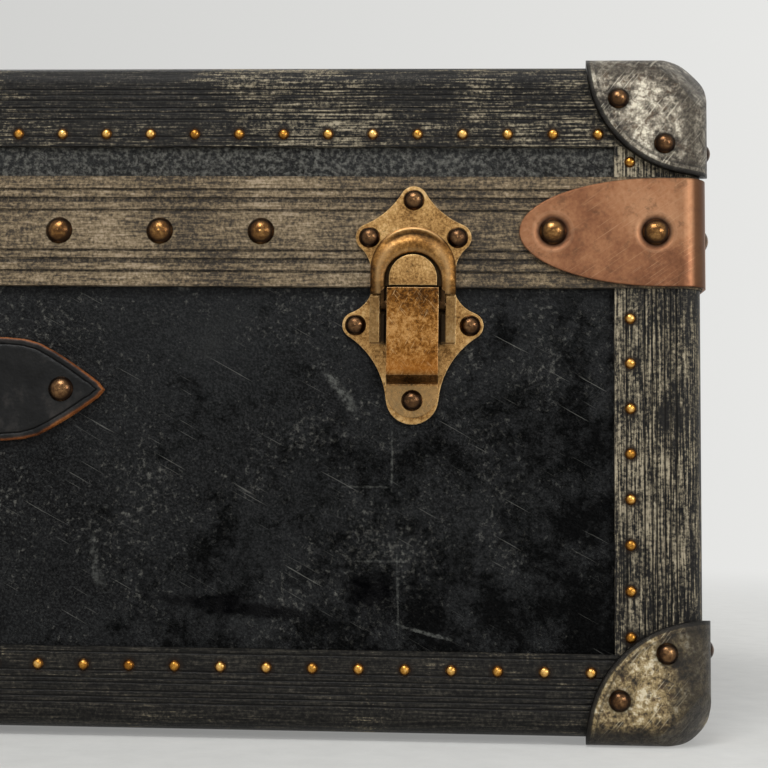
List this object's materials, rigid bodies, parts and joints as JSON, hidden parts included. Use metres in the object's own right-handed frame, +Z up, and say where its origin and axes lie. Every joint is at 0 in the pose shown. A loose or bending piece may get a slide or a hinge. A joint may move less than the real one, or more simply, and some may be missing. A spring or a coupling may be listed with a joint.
{
  "type": "travel trunk",
  "caption": "Shallow canvas-covered trunk with fibre bindings, a grooved band round the lid, steel corners, arch latches, a hasp lock and a leather handle.",
  "frame": {"origin": "centre of the trunk's bounding box in plan, at the level of the surface that it stands on", "axes": "+Z up, -Y towards the front with the latches and the handle, +X to the right seen from the front"},
  "size_m": [0.6526, 0.4298, 0.2436],
  "materials": {
    "poplar_boards": "planed softwood",
    "rim_wood": "planed softwood, waxed",
    "black_canvas": "painted and waxed canvas, scuffed",
    "paper_lining": "aged printed paper",
    "black_fibre": "blackened vulcanised fibre, worn grey at the edges",
    "tan_fibre": "worn vulcanised fibre, grooved",
    "steel_corner": "lacquered steel, rusted and rubbed",
    "brass_plate": "aged brass plate",
    "latch_brass": "aged golden brass",
    "spring_bronze": "polished orange bronze",
    "brass_tack": "bright small brass heads",
    "domed_nail": "dull bronzed domes",
    "copper_clamp": "aged copper",
    "rivet_bronze": "dark bronzed rivets",
    "iron": "blackened iron",
    "bright_steel": "rubbed steel",
    "black_leather": "black leather, worn tan at the edges",
    "brown_leather": "dark brown stitched leather"
  },
  "bodies": {
    "base": {"base_front_board": "poplar_boards", "base_back_board": "poplar_boards", "base_end_boards": "poplar_boards", "base_floor_board": "poplar_boards", "base_canvas": "black_canvas", "base_lining": "paper_lining", "rim_strips": "rim_wood", "base_edge_bindings": "black_fibre", "base_corner_posts": "black_fibre", "base_steel_corners": "steel_corner", "base_corner_rivets": "rivet_bronze", "base_tacks": "brass_tack", "latch_lower_plates": "brass_plate", "latch_springs": "spring_bronze", "latch_pins": "rivet_bronze", "latch_lower_rivets": "rivet_bronze", "lock_plate": "brass_plate", "lock_case": "brass_plate", "lock_rivets": "rivet_bronze", "handle_sockets": "bright_steel", "handle_tabs": "black_leather", "handle_rivets": "rivet_bronze", "hinge_lower_leaves": "iron", "hinge_lower_rivets": "rivet_bronze", "hinge_pins": "bright_steel"},
    "lid": {"lid_front_board": "poplar_boards", "lid_back_board": "poplar_boards", "lid_end_boards": "poplar_boards", "lid_top_board": "poplar_boards", "lid_canvas": "black_canvas", "lid_lining": "paper_lining", "lid_edge_bindings": "black_fibre", "lid_corner_posts": "black_fibre", "lid_steel_corners": "steel_corner", "lid_corner_rivets": "rivet_bronze", "lid_tacks": "brass_tack", "lid_band": "tan_fibre", "band_nails": "domed_nail", "band_clamps": "copper_clamp", "clamp_nails": "rivet_bronze", "latch_catch_plates": "brass_plate", "latch_catch_rivets": "rivet_bronze", "hinge_upper_leaves": "iron", "hinge_upper_rivets": "rivet_bronze", "lock_upper_plate": "brass_plate", "lock_upper_rivets": "rivet_bronze", "hasp_pin": "rivet_bronze"},
    "left_latch": {"left_latch_arch": "latch_brass"},
    "right_latch": {"right_latch_arch": "latch_brass"},
    "hasp": {"lock_hasp": "brass_plate"},
    "bolt": {"lock_bolt": "bright_steel"},
    "key_cover": {"keyhole_cover": "brass_plate"},
    "handle": {"handle_core": "bright_steel", "handle_grip": "brown_leather"}
  },
  "joints": [
    {"name": "lid_hinge", "type": "hinge", "parent": "base", "child": "lid", "pos_m": [0, 0.20713, 0.1594], "axis": [-1, 0, 0], "range_deg": [0, 100]},
    {"name": "left_latch_pivot", "type": "hinge", "parent": "base", "child": "left_latch", "pos_m": [-0.2189, -0.19967, 0.1528], "axis": [1, 0, 0], "range_deg": [0, 110]},
    {"name": "right_latch_pivot", "type": "hinge", "parent": "base", "child": "right_latch", "pos_m": [0.2189, -0.19967, 0.1528], "axis": [1, 0, 0], "range_deg": [0, 110]},
    {"name": "hasp_pivot", "type": "hinge", "parent": "lid", "child": "hasp", "pos_m": [0, -0.20267, 0.1684], "axis": [-1, 0, 0], "range_deg": [0, 120]},
    {"name": "bolt_slide", "type": "slide", "parent": "base", "child": "bolt", "axis": [1, 0, 0], "range_m": [0, 0.005]},
    {"name": "key_cover_pivot", "type": "hinge", "parent": "base", "child": "key_cover", "pos_m": [0.008, -0.20337, 0.1264], "axis": [0, -1, 0], "range_deg": [0, 100]},
    {"name": "handle_pivot", "type": "hinge", "parent": "base", "child": "handle", "pos_m": [0, -0.20437, 0.122], "axis": [-1, 0, 0], "range_deg": [0, 95]}
  ]
}
